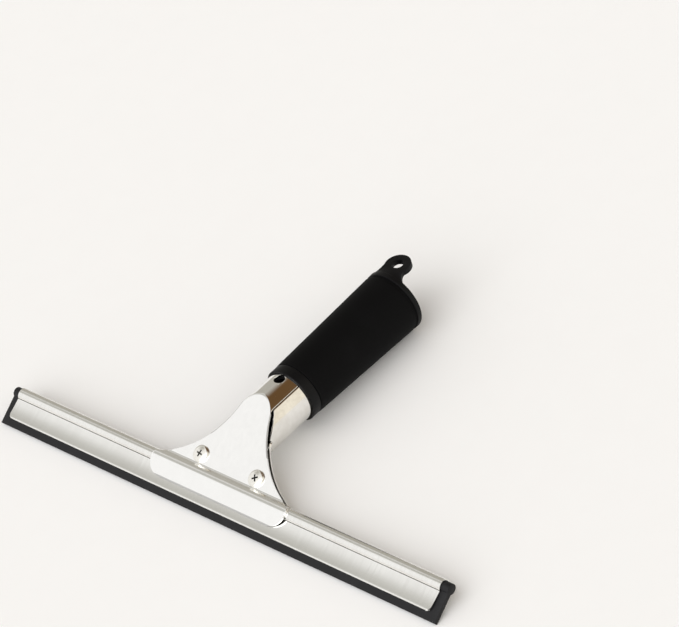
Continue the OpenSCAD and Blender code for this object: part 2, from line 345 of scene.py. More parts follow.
class Section:
    """A line or outline drawn with a moving tip, in the plane of two of a mesh's axes."""

    def __init__(self, start: Point, axes: tuple[int, int]) -> None:
        """Starts at a point.

        Args:
            start: The first point.
            axes: Numbers of the axes that the two coordinates lie along.
        """
        self.mesh = bmesh.new()
        self.axes = axes
        self.first = self.mesh.verts.new(self._lift(start))
        self.tip = self.first

    def _lift(self, point: Point) -> Vector:
        """A point of the section in space."""
        lifted = Vector((0.0, 0.0, 0.0))
        lifted[self.axes[0]], lifted[self.axes[1]] = point
        return lifted

    def line(self, *points: Point) -> "Section":
        """Goes straight through some points."""
        for point in points:
            self.tip = bmesh.ops.extrude_vert_indiv(self.mesh, verts=[self.tip])["verts"][0]
            self.tip.co = self._lift(point)
        return self

    def arc(self, centre: Point, degrees: float, steps: int) -> "Section":
        """Goes round a centre, positive from the first axis to the second."""
        middle = self._lift(centre)
        first, second = self._lift((1.0, 0.0)), self._lift((0.0, 1.0))
        turn = Matrix.Rotation(math.radians(degrees / steps), 3, first.cross(second))
        for _ in range(steps):
            self.tip = bmesh.ops.extrude_vert_indiv(self.mesh, verts=[self.tip])["verts"][0]
            bmesh.ops.rotate(self.mesh, verts=[self.tip], cent=middle, matrix=turn)
        return self

    def close(self) -> "Section":
        """Joins the tip to the start."""
        if (self.tip.co - self.first.co).length < 1e-6:
            bmesh.ops.remove_doubles(self.mesh, verts=self.mesh.verts, dist=1e-5)
        else:
            self.mesh.edges.new((self.tip, self.first))
        return self

    def lathe(self, steps: int = 128) -> bmesh.types.BMesh:
        """Turns the section round the third axis."""
        axis = Vector((0.0, 0.0, 1.0))
        bmesh.ops.spin(self.mesh, geom=self.mesh.verts[:] + self.mesh.edges[:], cent=(0, 0, 0),
                       axis=axis, angle=math.tau, steps=steps, use_merge=True)
        return cleaned(self.mesh)

    def pushed(self, step: Vector, count: int, start: Vector) -> bmesh.types.BMesh:
        """Fills the outline and pushes it out into a solid bar.

        Args:
            step: How far each of the lengths goes.
            count: How many lengths.
            start: Where the outline is moved before it is pushed out.

        Returns:
            The closed solid.
        """
        bmesh.ops.translate(self.mesh, verts=self.mesh.verts, vec=start)
        bmesh.ops.triangle_fill(self.mesh, edges=self.mesh.edges[:], use_beauty=True)
        bmesh.ops.dissolve_limit(self.mesh, angle_limit=0.01, verts=self.mesh.verts[:],
                                 edges=[e for e in self.mesh.edges if len(e.link_faces) == 2])
        cap = self.mesh.faces[:]
        doubled(self.mesh, cap)
        for _ in range(count):
            out = bmesh.ops.extrude_face_region(self.mesh, geom=cap)["geom"]
            bmesh.ops.delete(self.mesh, geom=cap, context="FACES_ONLY")
            cap = kind_of(out, bmesh.types.BMFace)
            moved = kind_of(out, bmesh.types.BMVert)
            bmesh.ops.translate(self.mesh, verts=moved, vec=step)
        return cleaned(self.mesh)

    def swept(self, degrees: float, steps: int, rise: float = 0.0) -> bmesh.types.BMesh:
        """Fills the outline and sweeps it round the third axis into a solid.

        Args:
            degrees: How far round.
            steps: In how many lengths.
            rise: How far along the axis it climbs on the way.

        Returns:
            The closed solid.
        """
        bmesh.ops.contextual_create(self.mesh, geom=self.mesh.edges[:])
        face = self.mesh.faces[:]
        doubled(self.mesh, face)
        bmesh.ops.spin(self.mesh, geom=face, cent=(0, 0, 0), axis=(0, 0, 1),
                       dvec=(0, 0, rise / steps), angle=math.radians(degrees), steps=steps)
        return cleaned(self.mesh)


def kind_of(items: Iterable, kind: type) -> list:
    """The items of one kind out of an operator's result."""
    return [item for item in items if isinstance(item, kind)]


def turned(mesh: bmesh.types.BMesh, degrees: float, axis: str = "Z") -> bmesh.types.BMesh:
    """Turns a whole mesh about an axis through its origin."""
    bmesh.ops.rotate(mesh, verts=mesh.verts, cent=(0, 0, 0),
                     matrix=Matrix.Rotation(math.radians(degrees), 3, axis))
    return mesh


def doubled(mesh: bmesh.types.BMesh, faces: list) -> None:
    """Leaves a reversed copy of some faces behind, to close the end of a shape."""
    kept = bmesh.ops.duplicate(mesh, geom=faces)["geom"]
    bmesh.ops.reverse_faces(mesh, faces=kind_of(kept, bmesh.types.BMFace))


def absorb(mesh: bmesh.types.BMesh, other: bmesh.types.BMesh) -> None:
    """Adds another mesh to a mesh, and frees the other."""
    data = bpy.data.meshes.new("absorbed")
    other.to_mesh(data)
    other.free()
    mesh.from_mesh(data)
    bpy.data.meshes.remove(data)


def reopened(piece: bpy.types.Object) -> bmesh.types.BMesh:
    """An object's mesh, open to be worked on again. The object is removed."""
    mesh = bmesh.new()
    mesh.from_mesh(piece.data)
    bpy.data.objects.remove(piece)
    return mesh


def cleaned(mesh: bmesh.types.BMesh) -> bmesh.types.BMesh:
    """Merges doubles and turns the faces outwards."""
    bmesh.ops.remove_doubles(mesh, verts=mesh.verts, dist=1e-4)
    bmesh.ops.recalc_face_normals(mesh, faces=mesh.faces)
    return mesh


def sheet_grid(across: int, up: int, place: Callable[[int, int], Vector]) -> bmesh.types.BMesh:
    """A grid whose corners are put where a function says.

    Args:
        across: Faces from one side to the other.
        up: Faces from the bottom to the top.
        place: Gives the point for a column and row number.

    Returns:
        The sheet, with no thickness.
    """
    mesh = bmesh.new()
    bmesh.ops.create_grid(mesh, x_segments=across, y_segments=up, size=0.5)
    columns = sorted({round(v.co.x, 5) for v in mesh.verts})
    rows = sorted({round(v.co.y, 5) for v in mesh.verts})
    column_of = {x: i for i, x in enumerate(columns)}
    row_of = {y: i for i, y in enumerate(rows)}
    for vert in mesh.verts:
        vert.co = place(column_of[round(vert.co.x, 5)], row_of[round(vert.co.y, 5)])
    return mesh


def slice_mesh(mesh: bmesh.types.BMesh, point: Vector, normal: Vector) -> None:
    """Adds edges where a plane crosses a mesh."""
    bmesh.ops.bisect_plane(mesh, geom=mesh.verts[:] + mesh.edges[:] + mesh.faces[:], dist=1e-5,
                           plane_co=point, plane_no=normal)


def bevel_sharp(mesh: bmesh.types.BMesh, width: float, segments: int = 2,
                above: float = 35.0) -> bmesh.types.BMesh:
    """Rounds the edges that turn by more than an angle."""
    sharp = [e for e in mesh.edges if len(e.link_faces) == 2
             and math.degrees(e.calc_face_angle(0.0)) > above]
    bmesh.ops.bevel(mesh, geom=sharp, offset=width, offset_type="OFFSET", affect="EDGES",
                    segments=segments, profile=0.5, material=-1, clamp_overlap=True)
    return mesh


def to_piece(mesh: bmesh.types.BMesh, name: str, matrix: Matrix,
             smooth_below: float = 40.0) -> bpy.types.Object:
    """Makes a mesh an object, with its place in its mesh.

    Args:
        mesh: The shape, in millimetres. It is freed.
        name: The object's name.
        matrix: From the shape's frame to the row frame.
        smooth_below: Edges that turn by less than this are shaded smooth.

    Returns:
        The object, at the origin.
    """
    mesh.transform(matrix)
    data = bpy.data.meshes.new(name)
    mesh.to_mesh(data)
    mesh.free()
    data.shade_smooth()
    data.set_sharp_from_angle(angle=math.radians(smooth_below))
    piece = bpy.data.objects.new(name, data)
    bpy.context.scene.collection.objects.link(piece)
    return piece


def thicken(piece: bpy.types.Object, thickness: float, edge: float = 0.2) -> bpy.types.Object:
    """Gives a sheet its thickness on the side away from its normals, with rounded edges."""
    solid = piece.modifiers.new("thickness", "SOLIDIFY")
    solid.thickness = thickness * MM
    solid.offset = -1.0
    solid.use_even_offset = True
    round_edges(piece, edge)
    return piece


def round_edges(piece: bpy.types.Object, width: float, segments: int = 2,
                above: float = 50.0) -> None:
    """Rounds a piece's sharp edges, and keeps its broad faces flat in the light."""
    bevel = piece.modifiers.new("rounded_edges", "BEVEL")
    bevel.width = width * MM
    bevel.segments = segments
    bevel.limit_method = "ANGLE"
    bevel.angle_limit = math.radians(above)
    bevel.use_clamp_overlap = True
    even = piece.modifiers.new("even_shading", "WEIGHTED_NORMAL")
    even.weight = 50
    even.keep_sharp = True


def settle(piece: bpy.types.Object) -> bpy.types.Object:
    """Applies a piece's modifiers to its mesh."""
    bpy.context.view_layer.update()
    seen = piece.evaluated_get(bpy.context.evaluated_depsgraph_get())
    data = bpy.data.meshes.new_from_object(seen)
    piece.modifiers.clear()
    piece.data = data
    return piece


def carve(piece: bpy.types.Object, cutter: bpy.types.Object, keep_common: bool = False) -> None:
    """Cuts one closed shape with another, and removes the cutter."""
    cut = piece.modifiers.new("cut", "BOOLEAN")
    cut.operation = "INTERSECT" if keep_common else "DIFFERENCE"
    cut.solver = "EXACT"
    cut.object = cutter
    settle(piece)
    bpy.data.objects.remove(cutter)


@dataclass
class Assembly:
    """What every sub-assembly works with.

    Attributes:
        placement: Where things are.
        finishes: The finishes to choose from.
        materials: Materials made so far, by name.
    """

    placement: Placement
    finishes: Finishes
    materials: dict[str, bpy.types.Material]

    def dress(self, piece: bpy.types.Object, finish: Steel | SoftBlack, body: str, slot: str,
              *nodes: str) -> bpy.types.Object:
        """Gives a piece its finish, and ties it to the model.

        Args:
            piece: The finished piece.
            finish: Its finish.
            body: The body it rides on.
            slot: The record's material slot. Not used.
            nodes: The model's nodes that it stands for; none for a node of the model itself.

        Returns:
            The piece.
        """
        if finish.name not in self.materials:
            self.materials[finish.name] = finish.material()
        piece.data.materials.clear()
        piece.data.materials.append(self.materials[finish.name])
        if nodes:
            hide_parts(*nodes)
            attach(piece, body)
        log.info("piece %s: %d faces, on %s", piece.name, len(piece.data.polygons), body)
        return piece


# ---- Blade ----


@dataclass
class Blade(Assembly):
    """The rubber blade and the steel channel that grips it."""

    rubber_length: float = 304.999
    rubber_thickness: float = 2.4
    rubber_bead: float = 2.8
    bead_z: float = 17.8
    channel_length: float = 296.0
    bead_r: float = 3.6
    waist_y: float = 2.15
    lip_y: float = 3.2
    lip_z: float = 3.9
    steel: float = 0.6
    roll_r: float = 0.85
    corner_r: float = 3.0
    bow: float = 0.35

    def build(self) -> None:
        """Builds both pieces."""
        self.rubber()
        self.channel()

    def rubber(self) -> bpy.types.Object:
        """The extruded rubber, with its bead and its sharp wiping edges."""
        half = self.rubber_thickness / 2
        spread = math.degrees(math.asin(half / self.rubber_bead))
        neck_z = self.bead_z - self.rubber_bead * math.cos(math.radians(spread))
        outline = Section((-half, 0.0), (1, 2)).line((half, 0.0), (half, neck_z))
        outline.arc((0.0, self.bead_z), 360 - 2 * spread, 36).line((-half, 0.0)).close()
        mesh = outline.pushed(Vector((self.rubber_length / 60, 0, 0)), 60,
                              Vector((-self.rubber_length / 2, 0, 0)))
        bevel_sharp(mesh, 0.12, 2, 60)
        piece = to_piece(mesh, "blade_rubber", self.placement.blade)
        return self.dress(piece, self.finishes.blade, "rubber", "blade_rubber", "rubber_blade")

    def skirt(self, z: float) -> float:
        """Half the channel's depth at a height."""
        share = (self.bead_z - z) / (self.bead_z - self.lip_z)
        flare = (self.lip_y - self.waist_y) * share ** 2
        return self.waist_y + flare - self.bow * share * (1 - share)

    def channel(self) -> bpy.types.Object:
        """The rolled channel: lip, skirt, waist, round top, and back down."""
        low = self.lip_z + self.roll_r
        waist = math.degrees(math.acos(self.waist_y / self.bead_r))
        waist_z = self.bead_z - self.bead_r * math.sin(math.radians(waist))
        heights = [low + (waist_z - 0.1 - low) * i / 14 for i in range(1, 15)]
        roll = (self.skirt(low) - self.roll_r, low)
        start = (roll[0] + self.roll_r * math.cos(math.radians(-250)),
                 roll[1] + self.roll_r * math.sin(math.radians(-250)))
        line = Section(start, (1, 2)).arc(roll, 250, 22)
        line.line(*[(self.skirt(z), z) for z in heights])
        line.line((self.bead_r * math.cos(math.radians(-waist)), waist_z))
        line.arc((0.0, self.bead_z), 180 + 2 * waist, 48)
        line.line(*[(-self.skirt(z), z) for z in reversed(heights)], (-self.skirt(low), low))
        line.arc((-roll[0], roll[1]), 250, 22)
        mesh = line.mesh
        bmesh.ops.translate(mesh, verts=mesh.verts, vec=(-self.channel_length / 2, 0, 0))
        edges, count = mesh.edges[:], 74
        for _ in range(count):
            out = bmesh.ops.extrude_edge_only(mesh, edges=edges)["geom"]
            edges = kind_of(out, bmesh.types.BMEdge)
            bmesh.ops.translate(mesh, verts=kind_of(out, bmesh.types.BMVert),
                                vec=(self.channel_length / count, 0, 0))
        self.round_corners(mesh)
        bmesh.ops.remove_doubles(mesh, verts=mesh.verts, dist=1e-3)
        face_out(mesh, Vector((0, 0, self.bead_z)))
        piece = thicken(to_piece(mesh, "channel", self.placement.blade), self.steel, 0.12)
        # Painted shade: a dark line along the channel's waist crease.
        paint_shade(piece, self.placement.blade, lambda at: -0.12 < at.z - waist_z < 0.3)
        return self.dress(piece, self.finishes.channel, "channel", "channel_steel",
                          "blade_channel")

    def round_corners(self, mesh: bmesh.types.BMesh) -> None:
        """Trims the lower corners at both ends with flat cuts that follow a round."""
        for side in (-1, 1):
            centre = Vector((side * (self.channel_length / 2 - self.corner_r), 0,
                             self.lip_z + self.corner_r))
            for step in range(1, 9):
                angle = math.radians(90 * (step - 0.5) / 8)
                away = Vector((side * math.cos(angle), 0, -math.sin(angle)))
                bmesh.ops.bisect_plane(mesh, dist=1e-5, clear_outer=True,
                                       geom=mesh.verts[:] + mesh.edges[:] + mesh.faces[:],
                                       plane_co=centre + away * self.corner_r, plane_no=away)


def face_out(mesh: bmesh.types.BMesh, inside: Vector) -> None:
    """Turns an open sheet's faces so that its top faces away from a point or line inside it."""
    bmesh.ops.recalc_face_normals(mesh, faces=mesh.faces)
    top = max(mesh.faces, key=lambda f: f.calc_center_median().z)
    away = top.calc_center_median() - inside
    away.x = 0.0
    if top.normal.dot(away) < 0:
        bmesh.ops.reverse_faces(mesh, faces=mesh.faces)


def paint_shade(piece: bpy.types.Object, matrix: Matrix, hit: Callable[[Vector], float]) -> None:
    """Marks the faces where shade is painted darker, for the steel finishes.

    Args:
        piece: The finished piece.
        matrix: The frame that the rule is written in.
        hit: How much painted shade there is, from 0 to 1, given a face's centre in that frame.
    """
    layer = piece.data.attributes.new(PAINTED_SHADE, "FLOAT", "FACE")
    back = matrix.inverted()
    for face in piece.data.polygons:
        layer.data[face.index].value = float(hit(back @ face.center))


# ---- Clamp ----


@dataclass(frozen=True)
class JawLine:
    """The outside of a clamp sheet from the side: lip, arc over the bead, hollow bend, plate."""

    plate_y: float = 2.0
    sheet: float = 1.0
    bead_z: float = 17.8
    inner_r: float = 3.7
    lip_y: float = 2.6
    jaw_z: float = 8.8
    rise: float = 5.4

    @property
    def outer_r(self) -> float:
        """Radius of the arc's outside."""
        return self.inner_r + self.sheet

    @property
    def bend_r(self) -> float:
        """Radius of the hollow bend."""
        return ((self.plate_y ** 2 + self.rise ** 2 - self.outer_r ** 2)
                / (2 * (self.outer_r - self.plate_y)))

    @property
    def bend_z(self) -> float:
        """Height at which the plate starts."""
        return self.bead_z + self.rise

    def line(self) -> list[Point]:
        """Points (out, up) from the lip to the start of the plate."""
        drop = self.bead_z - self.jaw_z
        lip = -math.atan2(drop, self.lip_y) + math.acos(self.inner_r / math.hypot(self.lip_y, drop))
        join = math.atan2(self.rise, self.plate_y + self.bend_r)
        foot = (self.lip_y + self.sheet * math.cos(lip), self.jaw_z + self.sheet * math.sin(lip))
        knee = (self.outer_r * math.cos(lip), self.bead_z + self.outer_r * math.sin(lip))
        points = [(foot[0] + (knee[0] - foot[0]) * i / 12, foot[1] + (knee[1] - foot[1]) * i / 12)
                  for i in range(12)]
        for i in range(21):
            angle = lip + (join - lip) * i / 20
            points.append((self.outer_r * math.cos(angle),
                           self.bead_z + self.outer_r * math.sin(angle)))
        for i in range(1, 11):
            angle = math.pi + join * (1 - i / 10)
            points.append((self.plate_y + self.bend_r * (1 + math.cos(angle)),
                           self.bend_z + self.bend_r * math.sin(angle)))
        return points


@dataclass
class Clamp(Assembly):
    """The front and rear shells, from their jaws to the neck inside the grip."""

    jaw: JawLine = JawLine()
    jaw_width: float = 93.5
    rear_inset: float = 2.0
    corner_r: float = 8.5
    side_r: float = 54.0
    side_z: float = 72.0
    seam_angle: float = 41.0
    seam_gap: float = 0.2
    bend: float = 32.0
    neck_r: float = 14.0
    rim_y: float = 18.0
    rim_z: float = 72.4
    crease_r: float = 2.2
    split_z: float = 45.0
    flange_z: float = 47.0
    neck_top: float = 4.0
    lock_r: float = 3.0
    lock_s: float = -3.1
    blend: float = 3.0
    side_top: float = 62.0
    hole_patch: float = 3.4
    ease: float = 0.42
    ease_z: float = 38.0
    edge_sink: float = 2.73
    edge_rise: float = 15.0
    edge_curve: float = 0.62
    columns: int = 96

    def build(self) -> None:
        """Builds both shells."""
        self.front()
        self.rear()

    @property
    def _sin(self) -> float:
        """Sine of the handle's bend."""
        return math.sin(math.radians(self.bend))

    @property
    def _cos(self) -> float:
        """Cosine of the handle's bend."""
        return math.cos(math.radians(self.bend))

    @property
    def seam_x(self) -> float:
        """Half the width of the front shell's strip of the neck."""
        return self.neck_r * math.sin(math.radians(self.seam_angle))

    @property
    def seam_n(self) -> float:
        """How far in front of the handle's axis the seam lies."""
        return self.neck_r * math.cos(math.radians(self.seam_angle))

    def half_width(self, z: float, width: float) -> float:
        """Half the width of a shell at a height, with hollow sides and round lower corners."""
        middle = self.seam_x + math.sqrt(self.side_r ** 2 - (self.side_z - self.side_top) ** 2)
        drop = min(abs(self.side_z - z), self.side_r)
        side = middle - math.sqrt(self.side_r ** 2 - drop ** 2)
        half = min(side, width / 2)
        low = self.jaw.jaw_z + self.corner_r - z
        if low > 0:
            low = min(low, self.corner_r)
            half = width / 2 - self.corner_r + math.sqrt(self.corner_r ** 2 - low ** 2)
        return half

    def shell(self, mesh: bmesh.types.BMesh, name: str, plate: Vector) -> bpy.types.Object:
        """Turns a shell's sheet outwards and gives it its thickness.

        Args:
            mesh: The outside of the shell.
            name: The piece's name.
            plate: A point on its flat plate, on the outer side of the clamp's middle plane.

        Returns:
            The piece.
        """
        bmesh.ops.recalc_face_normals(mesh, faces=mesh.faces)
        nearest = min(mesh.faces, key=lambda f: (f.calc_center_median() - plate).length)
        if nearest.normal.y * plate.y < 0:
            bmesh.ops.reverse_faces(mesh, faces=mesh.faces)
        return thicken(to_piece(mesh, name, self.placement.blade, 60), self.jaw.sheet, 0.22)

    # Front shell

    def crease(self, x: float) -> Point:
        """Where the plate meets the neck: height on the plate, and distance along the handle."""
        out = math.sqrt(self.neck_r ** 2 - min(abs(x), self.seam_x + 0.4) ** 2)
        along = (-self.jaw.plate_y - self.rim_y + out * self._cos) / self._sin
        return self.rim_z + along * self._cos + out * self._sin, along

    def climb(self, x: float) -> float:
        """Length of the front shell above split_z, up to the neck's top."""
        z, along = self.crease(x)
        return z - self.split_z + self.neck_top - along

    def front_point(self, x: float, length: float) -> Vector:
        """A point of the front shell's outside.

        Args:
            x: Place along the blade.
            length: Distance up the shell from split_z.

        Returns:
            The point, in the blade's frame.
        """
        z, along = self.crease(x)
        past = length - (z - self.split_z)
        reach = self.crease_r * math.tan(math.radians(self.bend / 2))
        if past <= -reach:
            return Vector((x, -self.jaw.plate_y, self.split_z + length))
        if past >= reach:
            out = math.sqrt(self.neck_r ** 2 - min(abs(x), self.neck_r) ** 2)
            s = along + past
            return Vector((x, self.rim_y + s * self._sin - out * self._cos,
                           self.rim_z + s * self._cos + out * self._sin))
        angle = math.radians(self.bend) * (past + reach) / (2 * reach)
        return Vector((x, -self.jaw.plate_y + self.crease_r * (1 - math.cos(angle)),
                       z - reach + self.crease_r * math.sin(angle)))

    def front(self) -> bpy.types.Object:
        """The front shell: jaw, plate, creased strip of the neck, and the lock hole."""
        low = [(out, up) for out, up in self.jaw.line()]
        steps = 24
        low += [(self.jaw.plate_y, self.jaw.bend_z + (self.split_z - self.jaw.bend_z) * i / steps)
                for i in range(1, steps + 1)]
        upper = 100

        def place(column: int, row: int) -> Vector:
            """The point for a column and a row of the sheet."""
            share = 2 * column / self.columns - 1
            if row < len(low):
                out, up = low[row]
                return Vector((share * self.half_width(up, self.jaw_width), -out, up))
            part = (row - len(low) + 1) / upper
            edge = self.seam_x
            for _ in range(12):
                z = self.split_z + part * self.climb(edge)
                edge = max(self.seam_x, self.half_width(min(z, self.side_top), self.jaw_width))
            x = share * edge
            return self.front_point(x, part * self.climb(x))

        mesh = sheet_grid(self.columns, len(low) - 1 + upper, place)
        self.cut_lock_hole(mesh)
        piece = self.shell(mesh, "clamp_front", Vector((0, -2, 35)))
        # Painted shade: a dark band along the jaw's lower edge and the plate's sides.
        paint_shade(piece, self.placement.blade, self.rim_painted_shade)
        return self.dress(piece, self.finishes.clamp, "handle", "clamp_steel", "front_clamp")

    def rim_painted_shade(self, at: Vector) -> float:
        """How much the cut edge of the front shell's jaw and plate is darkened with painted shade.
        """
        if at.z > 60.0:
            return 0.0
        near = max(self.jaw.jaw_z + 0.25 - at.z,
                   abs(at.x) + 0.2 - self.half_width(at.z, self.jaw_width))
        return 0.55 if near > 0 else 0.0

    def cut_lock_hole(self, mesh: bmesh.types.BMesh) -> None:
        """Opens the lock hole in the neck: clears a patch and bridges it to a true circle."""
        axis = Vector((0, self._sin, self._cos))
        rim = Vector((0, self.rim_y, self.rim_z))

        def along(point: Vector) -> float:
            """Distance from the hole along the handle."""
            return (point - rim).dot(axis) - self.lock_s

        def reach(face: bmesh.types.BMFace) -> float:
            """How far a face's centre is from the hole's, along or across."""
            middle = face.calc_center_median()
            return max(abs(middle.x), abs(along(middle)))

        patch = [f for f in mesh.faces
                 if f.calc_center_median().y > 0 and reach(f) < self.hole_patch]
        bmesh.ops.delete(mesh, geom=patch, context="FACES")
        rims = [e for e in mesh.edges if e.is_boundary
                and max(abs(v.co.x) for v in e.verts) < 5
                and max(abs(along(v.co)) for v in e.verts) < 5
                and min(v.co.y for v in e.verts) > 0]
        ring = bmesh.ops.create_circle(mesh, segments=48, radius=self.lock_r)["verts"]
        edges = list({e for v in ring for e in v.link_edges})
        for vert in ring:
            x, s = vert.co.x, vert.co.y + self.lock_s
            out = math.sqrt(self.neck_r ** 2 - x ** 2)
            vert.co = rim + axis * s + Vector((x, -out * self._cos, out * self._sin))
        bmesh.ops.bridge_loops(mesh, edges=rims + edges)

    # Rear shell

    def rear_field(self, x: float, y: float, z: float, plate: float) -> float:
        """Distance outside the rear shell at a height, with a soft blend where tube meets plate."""
        middle = self.rim_y - (self.rim_z - z) * self._sin / self._cos
        tube = math.hypot(x, (y - middle) * self._cos) - self.neck_r
        flat = y - plate
        near = max(self.blend - abs(tube - flat), 0.0) / self.blend
        return min(tube, flat) - near * near * self.blend / 4

    def rear_row(self, plate: float, z: float, count: int) -> list[Point]:
        """Half of the rear shell's outline at a height, from its middle to its side.

        Args:
            plate: Depth of the plain sheet at that height.
            z: The height.
            count: How many equal lengths it has.

        Returns:
            Points (x, y).
        """
        half = self.half_width(z, self.jaw_width - 2 * self.rear_inset)
        half -= self.ease * max((z - self.ease_z) / (self.flange_z - self.ease_z), 0.0) ** 2
        if z < self.jaw.bead_z + 1.5:
            return [(half * i / count, plate) for i in range(count + 1)]
        low_y, fine = -14.0, 160
        last = math.atan2(half, plate - low_y)
        points = []
        for i in range(fine + 1):
            angle = last * i / fine
            near, far = 0.0, 90.0
            for _ in range(34):
                reach = (near + far) / 2
                x, y = reach * math.sin(angle), low_y + reach * math.cos(angle)
                if self.rear_field(x, y, z, plate) < 0:
                    near = reach
                else:
                    far = reach
            points.append((near * math.sin(angle), low_y + near * math.cos(angle)))
        return evenly(points, count)

    def tube_point(self, angle: float, part: float) -> Vector:
        """A point of the rear shell's neck.

        Args:
            angle: Turn about the handle from its back, in radians.
            part: Share of the way from flange_z to the neck's top.

        Returns:
            The point, in the blade's frame.
        """
        back = self.neck_r * math.cos(angle)
        low = (self.flange_z - self.rim_z + back * self._sin) / self._cos
        s = low + (self.neck_top - low) * part
        return Vector((self.neck_r * math.sin(angle), self.rim_y + s * self._sin + back * self._cos,
                       self.rim_z + s * self._cos - back * self._sin))

    def rear_edge(self, part: float) -> float:
        """Angle of the rear shell's edge, which closes in on the front shell up to the seam."""
        angle, seam = math.radians(100), math.acos(-(self.seam_n - self.seam_gap) / self.neck_r)
        for _ in range(24):
            z = self.tube_point(angle, part).z
            up = max(z - self.flange_z, 0.0)
            sunk = self.edge_sink * min(up / self.edge_rise, 1.0) ** self.edge_curve
            depth = self.jaw.plate_y - sunk
            middle = self.rim_y - (self.rim_z - z) * self._sin / self._cos
            front = min((middle - depth) * self._cos, self.seam_n - self.seam_gap)
            angle = (angle + math.acos(-front / self.neck_r)) / 2
        return min(angle, seam)

    def rear(self) -> bpy.types.Object:
        """The rear shell: jaw, plate, the bulge that grows into the neck, and its seams."""
        half = self.columns // 2
        rows = [self.rear_row(out, up, half) for out, up in self.jaw.line()]
        heights = [up for _, up in self.jaw.line()]
        steps = 34
        for i in range(1, steps + 1):
            z = self.jaw.bend_z + (self.flange_z - self.jaw.bend_z) * i / steps
            rows.append(self.rear_row(self.jaw.plate_y, z, half))
            heights.append(z)
        tube = 72
        edges = [self.rear_edge((i + 1) / tube) for i in range(tube)]

        def place(column: int, row: int) -> Vector:
            """The point for a column and a row of the sheet."""
            share = (column - half) / half
            if row < len(rows):
                x, y = rows[row][abs(column - half)]
                return Vector((math.copysign(x, share), y, heights[row]))
            part = (row - len(rows) + 1) / tube
            return self.tube_point(share * edges[row - len(rows)], part)

        mesh = sheet_grid(self.columns, len(rows) - 1 + tube, place)
        piece = self.shell(mesh, "clamp_rear", Vector((30, 2, 28)))
        # The rear shell takes the darker copy of the clamp steel, as painted shade.
        return self.dress(piece, self.finishes.rear_clamp, "handle", "clamp_steel", "rear_clamp")


def evenly(points: list[Point], count: int) -> list[Point]:
    """Points at equal distances along a line.

    Args:
        points: The line.
        count: How many equal lengths.

    Returns:
        One more point than that.
    """
    lengths = [0.0]
    for a, b in zip(points, points[1:]):
        lengths.append(lengths[-1] + math.dist(a, b))
    made, j = [], 0
    for i in range(count + 1):
        target = lengths[-1] * i / count
        while j < len(points) - 2 and lengths[j + 1] < target:
            j += 1
        span = lengths[j + 1] - lengths[j]
        share = (target - lengths[j]) / span if span else 0.0
        made.append(tuple(a + (b - a) * share for a, b in zip(points[j], points[j + 1])))
    return made


# ---- Fasteners ----


